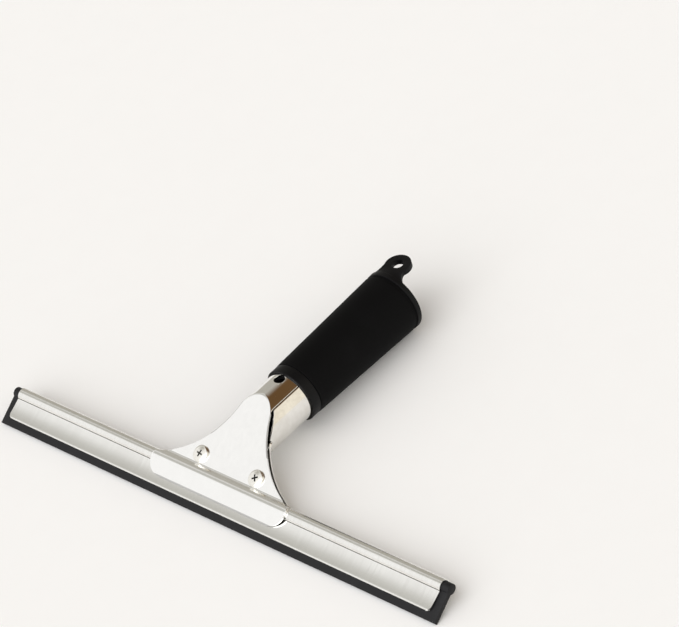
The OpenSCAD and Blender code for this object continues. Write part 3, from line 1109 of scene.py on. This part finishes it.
@dataclass
class Fastener(Assembly):
    """One clamp screw with its lock washer and nut."""

    side: Side
    cross_turn: float
    nut_turn: float
    pitch: float = 38.8
    height: float = 27.5
    plate_y: float = 2.0
    gap: float = 0.05
    head_r: float = 4.5
    head_h: float = 1.7
    head_wall: float = 0.7
    shank_r: float = 2.45
    core_r: float = 2.05
    length: float = 10.0
    thread: float = 0.8
    washer_r: float = 4.3
    washer_t: float = 1.2
    nut_flats: float = 8.0
    nut_h: float = 4.0

    @property
    def name(self) -> str:
        """left or right."""
        return self.side.name.lower()

    @property
    def matrix(self) -> Matrix:
        """The screw's own frame: Z to the back, from the clamp's middle plane."""
        centre = Matrix.Translation((self.side.value * self.pitch / 2, 0.0, self.height))
        return self.placement.blade @ centre @ Matrix.Rotation(math.radians(-90), 4, "X")

    def build(self) -> None:
        """Builds the three pieces."""
        self.screw()
        self.washer()
        self.nut()

    def screw(self) -> bpy.types.Object:
        """The screw: low domed head with a cross recess, and a threaded shank."""
        top = -self.plate_y - self.gap - self.head_h
        dome = self.head_h - self.head_wall
        under = top + self.head_h
        line = Section((0.0, top), (0, 2))
        for i in range(1, 17):
            angle = math.radians(84 * i / 16)
            line.line((self.head_r * math.sin(angle) / math.sin(math.radians(84)),
                       top + dome * (1 - math.cos(angle))))
        line.line((self.head_r, under - 0.12), (self.head_r - 0.12, under), (self.core_r, under))
        tip = under + self.length
        line.line((self.core_r, tip - 0.5), (self.core_r - 0.5, tip), (0.0, tip))
        head = to_piece(line.lathe(96), f"screw_{self.name}", Matrix.Identity(4))
        for turn in (0, 90):
            carve(head, self.recess_wing(top, self.cross_turn + turn))
        mesh = reopened(head)
        absorb(mesh, self.thread_ridge(under + 0.3, tip - 0.7))
        piece_of = f"screw_{self.name}"
        piece = to_piece(mesh, f"clamp_{piece_of}", self.matrix, 35)

        def in_recess(at: Vector) -> float:
            """1 for a face of the recess."""
            out = math.hypot(at.x, at.y)
            low = top + 0.06 + dome * (out / self.head_r) ** 2
            return float(out < 2.4 and low < at.z < top + 1.3)

        # Painted shade: the faces of the cross recess are darkened.
        paint_shade(piece, self.matrix, in_recess)
        return self.dress(piece, self.finishes.screw, piece_of, "screw_steel", piece_of)

    def recess_wing(self, top: float, turn: float) -> bpy.types.Object:
        """The cutter for one wing of the cross recess, which narrows as it goes in."""
        mesh = bmesh.new()
        bmesh.ops.create_cube(mesh, size=1.0)
        for vert in mesh.verts:
            deep = vert.co.z > 0
            vert.co.x *= 2.2 if deep else 4.7
            vert.co.y *= 0.62 if deep else 1.0
            vert.co.z = top + (1.25 if deep else -0.6)
        return to_piece(cleaned(turned(mesh, turn)), "recess", Matrix.Identity(4))

    def thread_ridge(self, start: float, end: float) -> bmesh.types.BMesh:
        """A helical ridge round the shank."""
        inner, tall = self.core_r - 0.1, self.thread * 0.42
        ridge = Section((inner, start - tall), (0, 2))
        ridge.line((self.shank_r, start), (inner, start + tall)).close()
        turns = (end - start) / self.thread
        return ridge.swept(360 * turns, int(turns * 28), end - start)

    def washer(self) -> bpy.types.Object:
        """The split lock washer."""
        low = self.plate_y + self.gap
        inner, outer, edge = self.shank_r + 0.1, self.washer_r, 0.12
        line = Section((inner + edge, low), (0, 2))
        line.line((outer - edge, low), (outer, low + edge), (outer, low + self.washer_t - edge),
                  (outer - edge, low + self.washer_t), (inner + edge, low + self.washer_t),
                  (inner, low + self.washer_t - edge), (inner, low + edge)).close()
        split = math.degrees(0.8 / outer)
        mesh = line.swept(360 - 2 * split, 90)
        turn = split if self.side is Side.RIGHT else 180 + split
        piece = to_piece(turned(mesh, turn), f"washer_{self.name}", self.matrix, 30)
        return self.dress(piece, self.finishes.washer, f"nut_{self.name}", "washer_steel",
                          f"lock_washer_{self.name}")

    def nut(self) -> bpy.types.Object:
        """The hexagon nut, with both faces chamfered and a threaded bore."""
        low = self.plate_y + 2 * self.gap + self.washer_t
        high = low + self.nut_h
        corner = self.nut_flats / 2 / math.cos(math.radians(30))
        mesh = bmesh.new()
        bmesh.ops.create_circle(mesh, segments=6, radius=corner, cap_ends=True)
        turned(mesh, self.nut_turn)
        bmesh.ops.translate(mesh, verts=mesh.verts, vec=(0, 0, low))
        out = bmesh.ops.extrude_face_region(mesh, geom=mesh.faces[:])["geom"]
        bmesh.ops.translate(mesh, verts=kind_of(out, bmesh.types.BMVert), vec=(0, 0, self.nut_h))
        base = [f for f in mesh.faces if len(f.verts) == 6 and f.calc_center_median().z < low + 0.1]
        if not base:
            bmesh.ops.holes_fill(mesh, edges=mesh.edges[:], sides=6)
        block = to_piece(cleaned(mesh), f"nut_block_{self.name}", Matrix.Identity(4))
        flat, drop = self.nut_flats / 2 - 0.1, (corner - self.nut_flats / 2 + 0.1) * 0.5
        bore, turns = self.shank_r + 0.05, 5
        form = Section((bore + 0.35, low), (0, 2))
        form.line((flat, low), (corner + 0.05, low + drop + 0.02),
                  (corner + 0.05, high - drop - 0.02), (flat, high), (bore + 0.35, high))
        for i in range(turns * 2):
            z = high - 0.35 - (self.nut_h - 0.7) * i / (turns * 2)
            form.line((bore + (0.0 if i % 2 == 0 else 0.28), z))
        form.line((bore, low + 0.35)).close()
        shaper = to_piece(form.lathe(72), "nut_shaper", Matrix.Identity(4))
        carve(block, shaper, keep_common=True)
        piece = to_piece(reopened(block), f"clamp_nut_{self.name}", self.matrix, 25)
        return self.dress(piece, self.finishes.nut, f"nut_{self.name}", "nut_steel",
                          f"nut_{self.name}")


# ---- Handle ----


@dataclass
class Handle(Assembly):
    """The collar, rubber grip and end ring with its hanging loop, round the pole socket."""

    inner_r: float = 14.05
    rim_r: float = 15.297
    end_r: float = 17.59
    length: float = 81.0
    collar: float = 5.7
    collar_gap: float = 0.2
    groove_s: float = 75.9
    groove: float = 0.6
    ring_s: float = 78.0
    socket_r: float = 11.5
    loop_front: float = 17.5
    loop_t: float = 3.0
    loop_r: float = 7.1
    loop_rise: float = 7.8
    loop_hole: float = 3.2
    loop_root: float = 9.2

    def build(self) -> None:
        """Builds the pieces of the handle."""
        self.front_collar()
        self.sleeve()
        self.end_ring()
        self.socket()

    def radius(self, s: float) -> float:
        """Outer radius of the grip at a distance from its rim."""
        return self.rim_r + (self.end_r - self.rim_r) * s / self.length

    def front_collar(self) -> bpy.types.Object:
        """The collar at the front of the grip."""
        line = Section((self.inner_r, 0.25), (0, 2))
        line.line((self.inner_r + 0.25, 0.0), (self.rim_r - 0.4, 0.0))
        line.arc((self.rim_r - 0.4, 0.4), 90, 6)
        line.line((self.rim_r, self.collar - 0.3)).arc((self.rim_r - 0.3, self.collar - 0.3), 90, 5)
        line.line((self.inner_r, self.collar)).close()
        piece = to_piece(line.lathe(160), "collar", self.placement.handle)
        return self.dress(piece, self.finishes.collar, "handle", "collar_plastic", "grip_collar")

    def sleeve(self) -> bpy.types.Object:
        """The rubber sleeve, with the groove before the end ring."""
        start = self.collar + self.collar_gap
        line = Section((self.inner_r, start), (0, 2)).line((self.radius(start) - 0.4, start))
        line.arc((self.radius(start) - 0.4, start + 0.4), 90, 6)
        for i in range(1, 30):
            s = start + 0.4 + (self.groove_s - 0.3 - start - 0.4) * i / 30
            line.line((self.radius(s), s))
        edge = self.radius(self.groove_s)
        line.line((edge, self.groove_s - 0.3)).arc((edge - 0.3, self.groove_s - 0.3), 90, 5)
        line.line((edge - self.groove, self.groove_s), (self.radius(self.ring_s) - self.groove,
                                                        self.ring_s), (self.inner_r, self.ring_s))
        piece = to_piece(line.close().lathe(192), "grip", self.placement.handle)
        return self.dress(piece, self.finishes.grip, "handle", "grip_rubber", "grip_sleeve")

    def end_ring(self) -> bpy.types.Object:
        """The end ring, with the hanging loop standing on its front edge."""
        start = self.radius(self.ring_s)
        line = Section((self.socket_r + 0.05, self.ring_s), (0, 2))
        line.line((start - 0.3, self.ring_s)).arc((start - 0.3, self.ring_s + 0.3), 90, 4)
        line.line((self.end_r, self.length - 0.6)).arc((self.end_r - 0.6, self.length - 0.6), 90, 8)
        line.line((self.socket_r + 0.6, self.length)).arc((self.socket_r + 0.6, self.length - 0.6),
                                                          84, 6).close()
        mesh = line.lathe(160)
        absorb(mesh, self.loop())
        piece = to_piece(mesh, "end_ring", self.placement.handle)
        return self.dress(piece, self.finishes.loop, "handle", "loop_plastic", "hang_ring")

    def loop(self) -> bmesh.types.BMesh:
        """The loop: a round eye on a root that widens to the ring."""
        middle, base = self.length + self.loop_rise, self.length - 0.9
        angle = -25.0
        meet = (self.loop_r * math.cos(math.radians(angle)),
                middle + self.loop_r * math.sin(math.radians(angle)))
        outline = Section((self.loop_root, base), (0, 2))
        spread = self.loop_root - meet[0]
        flare = [(meet[0] + spread * (1 - i / 8) ** 2.2,
                  self.length + (meet[1] - self.length) * i / 8) for i in range(8)]
        outline.line(*flare, meet)
        outline.arc((0.0, middle), 180 - 2 * angle, 40)
        outline.line(*[(-x, s) for x, s in reversed(flare)], (-self.loop_root, base)).close()
        ring = bmesh.ops.create_circle(outline.mesh, segments=40, radius=self.loop_hole)["verts"]
        bmesh.ops.rotate(outline.mesh, verts=ring, cent=(0, 0, 0),
                         matrix=Matrix.Rotation(math.radians(90), 3, "X"))
        bmesh.ops.translate(outline.mesh, verts=ring, vec=(0, 0, middle))
        mesh = outline.mesh
        bmesh.ops.translate(mesh, verts=mesh.verts, vec=(0, -self.loop_front, 0))
        bmesh.ops.triangle_fill(mesh, edges=mesh.edges[:], use_beauty=True)
        front = mesh.faces[:]
        doubled(mesh, front)
        out = bmesh.ops.extrude_face_region(mesh, geom=front)["geom"]
        bmesh.ops.delete(mesh, geom=front, context="FACES_ONLY")
        bmesh.ops.translate(mesh, verts=kind_of(out, bmesh.types.BMVert), vec=(0, self.loop_t, 0))
        cleaned(mesh)
        for step in range(1, 8):
            slice_mesh(mesh, Vector((0, 0, base + step)), Vector((0, 0, 1)))
        for step in range(-4, 5):
            slice_mesh(mesh, Vector((step * 2.0, 0, 0)), Vector((1, 0, 0)))
        for vert in mesh.verts:
            rest = min(max((vert.co.z - self.length) / 5.0, 0.0), 1.0)
            curve = self.loop_front - math.sqrt(self.loop_front ** 2 - vert.co.x ** 2)
            vert.co.y += curve * (1 - rest * rest * (3 - 2 * rest))
        return bevel_sharp(mesh, 0.45, 3, 60)

    def socket(self) -> bpy.types.Object:
        """The pole socket is the model's own node, with a finish."""
        node = frame["nodes"]["pole_socket"]
        return self.dress(node, self.finishes.socket, "handle", "socket_plastic")


# ---- Studio ----


@dataclass(frozen=True)
class Studio:
    """A plain pale floor, soft lights, and the camera."""

    target: tuple[float, float, float] = (-0.02335, 0.04948, 0.015)
    azimuth: float = 55.12
    elevation: float = 39.42
    roll: float = 20.54
    distance: float = 1.8235
    lens: float = 189.86
    floor_tone: Colour = (0.93, 0.93, 0.93)
    shades: tuple = (
        ((0.0, 0.49, 0.87), 0.80, 0.86, (0.13, 0.07, 0.028)),
        ((-0.634, -0.05, 0.77), 0.968, 0.99, (0.50, 0.49, 0.45)),
        ((-0.64, 0.76, 0.10), 0.55, 0.82, (0.46, 0.44, 0.39)),
    )

    def build(self) -> None:
        """Builds the stage."""
        self.floor()
        self.sky()
        self.lamps()
        self.camera()
        bpy.context.scene.view_settings.view_transform = "Standard"

    def floor(self) -> None:
        """The floor that the squeegee lies on."""
        mesh = bmesh.new()
        bmesh.ops.create_grid(mesh, x_segments=2, y_segments=2, size=12.0)
        data = bpy.data.meshes.new("floor")
        mesh.to_mesh(data)
        mesh.free()
        floor = bpy.data.objects.new("floor", data)
        bpy.context.scene.collection.objects.link(floor)
        material, bench = new_material("floor_finish")
        grain = bench.noise(bench.place(), 60.0, 3.0)
        bench.surface({"Base Color": bench.mix(grain, self.floor_tone,
                                               tuple(c * 0.985 for c in self.floor_tone)),
                       "Roughness": 0.9, "Specular IOR Level": 0.1})
        data.materials.append(material)

    def sky(self) -> None:
        """Soft light from all round: bright on the left, darker and warmer behind."""
        world = bpy.data.worlds.new("studio")
        bpy.context.scene.world = world
        world.use_nodes = True
        bench = Bench(world.node_tree)
        where = bench.node("ShaderNodeTexCoord", output="Generated")
        colour: Input = bench.mix(toward(bench, where, (0.78, 0.48, 0.4)).between(0.72, 0.95),
                                  (1.0, 0.995, 0.985), (1.0, 0.93, 0.80))
        for aim, low, high, tone in self.shades:
            colour = bench.mix(toward(bench, where, aim).between(low, high), colour, tone)
        light = bench.node("ShaderNodeBackground", {}, {"Color": colour, "Strength": 1.0})
        out = world.node_tree.nodes.new("ShaderNodeOutputWorld")
        world.node_tree.links.new(light.output, out.inputs["Surface"])

    def lamps(self) -> None:
        """A broad soft light from low in front."""
        data = bpy.data.lights.new("key", "SUN")
        data.energy, data.angle = 1.5, math.radians(70)
        lamp = bpy.data.objects.new("key", data)
        lamp.rotation_mode = "QUATERNION"
        lamp.rotation_quaternion = Vector((0.5, -2.0, 1.7)).to_track_quat("Z", "Y")
        bpy.context.scene.collection.objects.link(lamp)

    def camera(self) -> None:
        """The camera, which is turned about its own line of sight."""
        turn, rise, roll = (math.radians(a) for a in (self.azimuth, self.elevation, self.roll))
        back = Vector((math.sin(turn) * math.cos(rise), -math.cos(turn) * math.cos(rise),
                       math.sin(rise)))
        level = Vector((math.cos(turn), math.sin(turn), 0.0))
        upright = back.cross(level)
        up = upright * math.cos(roll) + level * math.sin(roll)
        data = bpy.data.cameras.new("camera")
        data.sensor_width, data.lens = 36.0, self.lens
        data.clip_start, data.clip_end = 0.05, 50.0
        camera = bpy.data.objects.new("camera", data)
        camera.matrix_world = (Matrix.Translation(Vector(self.target) + back * self.distance)
                               @ Matrix((up.cross(back), up, back)).transposed().to_4x4())
        bpy.context.scene.collection.objects.link(camera)
        bpy.context.scene.camera = camera


def toward(bench: Bench, where: Signal, aim: Point) -> Signal:
    """How closely a direction points along another: 1 where it does, 0 across it."""
    return bench.node("ShaderNodeVectorMath", {"operation": "DOT_PRODUCT"},
                      {0: where, 1: tuple(Vector(aim).normalized())}, output="Value")


def main() -> None:
    """Builds the squeegee and its studio."""
    logging.basicConfig(level=logging.INFO, format="%(message)s")
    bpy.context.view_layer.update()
    placement = Placement.from_record(frame["record"], lock_front=12.7, lock_along=-3.1)
    finishes, materials = Finishes(), {}
    Blade(placement, finishes, materials).build()
    Clamp(placement, finishes, materials).build()
    Fastener(placement, finishes, materials, Side.LEFT, 8.0, 0.0).build()
    Fastener(placement, finishes, materials, Side.RIGHT, -31.0, 0.0).build()
    Handle(placement, finishes, materials).build()
    Studio().build()
    bpy.context.view_layer.update()


if __name__ == "__main__":
    main()
